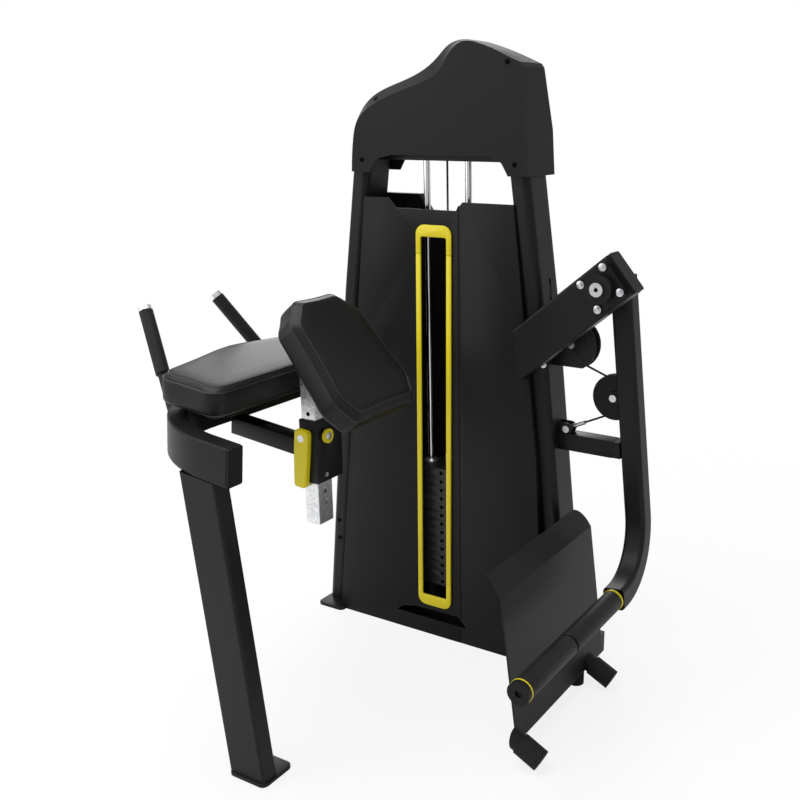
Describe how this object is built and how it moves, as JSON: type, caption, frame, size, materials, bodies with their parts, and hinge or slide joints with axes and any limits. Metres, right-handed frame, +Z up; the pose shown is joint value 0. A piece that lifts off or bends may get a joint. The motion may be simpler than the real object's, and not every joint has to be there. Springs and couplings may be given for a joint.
{
  "type": "glute isolator machine",
  "caption": "Weight-stack gym machine: a swinging leg arm with a foam roller works one glute while the user leans on chest and elbow pads.",
  "frame": {"origin": "on the floor under the middle of the tower, in the plane of the front shroud's foot", "axes": "+X to the leg arm's side, +Y to the back of the tower, +Z up"},
  "size_m": [0.9702, 0.8463, 1.4676],
  "materials": {
    "black_steel": "textured charcoal powder coat, matte",
    "black_plastic": "moulded charcoal plastic, matte",
    "yellow_plastic": "satin yellow plastic",
    "chrome_steel": "polished chrome",
    "zinc_steel": "galvanised steel with a fine spangle",
    "bright_steel": "bright zinc-plated steel",
    "black_rubber": "black rubber, matte",
    "pad_vinyl": "black vinyl over foam, satin",
    "foam_cover": "black foam with a smooth skin",
    "cast_plate": "black painted iron, matte",
    "cable_jacket": "black jacketed wire cable",
    "aluminium_cap": "satin aluminium",
    "black_board": "black board"
  },
  "bodies": {
    "machine_frame": {"left_upright": "black_steel", "right_upright": "black_steel", "foot_plates": "black_steel", "crossmembers": "black_steel", "weight_plates": "cast_plate", "guide_rods": "chrome_steel", "bump_stops": "black_rubber", "frame_bolts": "bright_steel", "pulley_guard": "black_steel", "terminal_bracket": "black_steel", "cable_terminal": "bright_steel", "stack_cable": "cable_jacket", "top_cable": "cable_jacket", "arm_cable": "cable_jacket", "box_beam": "black_steel", "tube_plugs": "black_plastic", "flange_bearings": "black_steel", "stop_strut": "black_steel", "side_base": "black_steel", "rubber_feet": "black_rubber", "kick_plate": "black_steel", "arc_tube": "black_steel", "front_post": "black_steel", "link_beam": "black_steel", "post_sleeve": "black_steel", "elbow_pad": "pad_vinyl", "elbow_pad_board": "black_board", "elbow_pad_rails": "black_steel", "handle_bars": "black_steel", "handle_grips": "black_rubber", "handle_end_caps": "aluminium_cap", "front_shroud": "black_plastic", "shroud_wing": "black_plastic", "slot_frame": "yellow_plastic", "rear_shroud": "black_plastic", "top_cover_front": "black_plastic", "top_cover_rear": "black_plastic"},
    "stack_carriage": {"head_plate": "cast_plate", "selector_stem": "bright_steel", "rod_bushes": "black_rubber"},
    "arm": {"swing_arm": "black_steel", "pivot_shaft": "bright_steel", "arm_plugs": "black_plastic", "arm_pulley_bolt": "bright_steel", "roller_bar": "bright_steel", "roller_rings": "yellow_plastic"},
    "arm_wheel": {"arm_pulley": "black_plastic"},
    "inner_wheel": {"top_pulley_inner": "black_plastic"},
    "outer_wheel": {"top_pulley_outer": "black_plastic"},
    "redirect_wheel": {"redirect_pulley": "black_plastic"},
    "far_foam": {"far_roller": "foam_cover"},
    "near_foam": {"near_roller": "foam_cover"},
    "chest_support": {"slide_post": "zinc_steel", "pad_plate": "black_steel", "chest_pad_board": "black_board", "chest_pad": "pad_vinyl"},
    "pin": {"locking_pin": "bright_steel", "pin_ring": "yellow_plastic"},
    "lever": {"release_lever": "yellow_plastic"}
  },
  "joints": [
    {"name": "arm_swing", "type": "hinge", "parent": "machine_frame", "child": "arm", "pos_m": [0.454, 0, 0.956], "axis": [0, -1, 0], "range_deg": [0, 60], "deforming": ["arm_cable"]},
    {"name": "carriage_lift", "type": "slide", "parent": "machine_frame", "child": "stack_carriage", "axis": [0, 0, 1], "range_m": [0, 0.467], "deforming": ["stack_cable"]},
    {"name": "inner_wheel_spin", "type": "hinge", "parent": "machine_frame", "child": "inner_wheel", "pos_m": [0.038, 0.08, 1.336], "axis": [0, -1, 0], "range_deg": [-698.2, 2]},
    {"name": "outer_wheel_spin", "type": "hinge", "parent": "machine_frame", "child": "outer_wheel", "pos_m": [0.13, 0.08, 1.336], "axis": [0, -1, 0], "range_deg": [-698.2, 2]},
    {"name": "redirect_wheel_spin", "type": "hinge", "parent": "machine_frame", "child": "redirect_wheel", "pos_m": [0.341, 0.08, 0.803], "axis": [0, -1, 0], "range_deg": [-2, 780.1]},
    {"name": "arm_wheel_spin", "type": "hinge", "parent": "arm", "child": "arm_wheel", "pos_m": [0.4475, 0.08, 0.691], "axis": [0, -1, 0], "range_deg": [-391, 2]},
    {"name": "far_foam_spin", "type": "hinge", "parent": "arm", "child": "far_foam", "pos_m": [0.52625, -0.194, 0.27432], "axis": [0, 1, 0], "continuous": true},
    {"name": "near_foam_spin", "type": "hinge", "parent": "arm", "child": "near_foam", "pos_m": [0.52625, -0.405, 0.27432], "axis": [0, 1, 0], "continuous": true},
    {"name": "chest_height", "type": "slide", "parent": "machine_frame", "child": "chest_support", "axis": [0, 0, 1], "range_m": [0, 0.075]},
    {"name": "pin_pull", "type": "slide", "parent": "machine_frame", "child": "pin", "axis": [1, 0, 0], "range_m": [0, 0.014], "stiffness_N_per_m": 400},
    {"name": "lever_turn", "type": "hinge", "parent": "machine_frame", "child": "lever", "pos_m": [-0.029, -0.45, 0.66], "axis": [0, -1, 0], "range_deg": [0, 25], "stiffness_Nm_per_rad": 0.4}
  ],
  "couplings": [
    {"joint": "carriage_lift", "follows": "arm_swing", "m_per_rad": 0.4409},
    {"joint": "inner_wheel_spin", "follows": "arm_swing", "ratio": -11.603},
    {"joint": "outer_wheel_spin", "follows": "arm_swing", "ratio": -11.603},
    {"joint": "redirect_wheel_spin", "follows": "arm_swing", "ratio": 12.968},
    {"joint": "arm_wheel_spin", "follows": "arm_swing", "ratio": -6.4838}
  ]
}
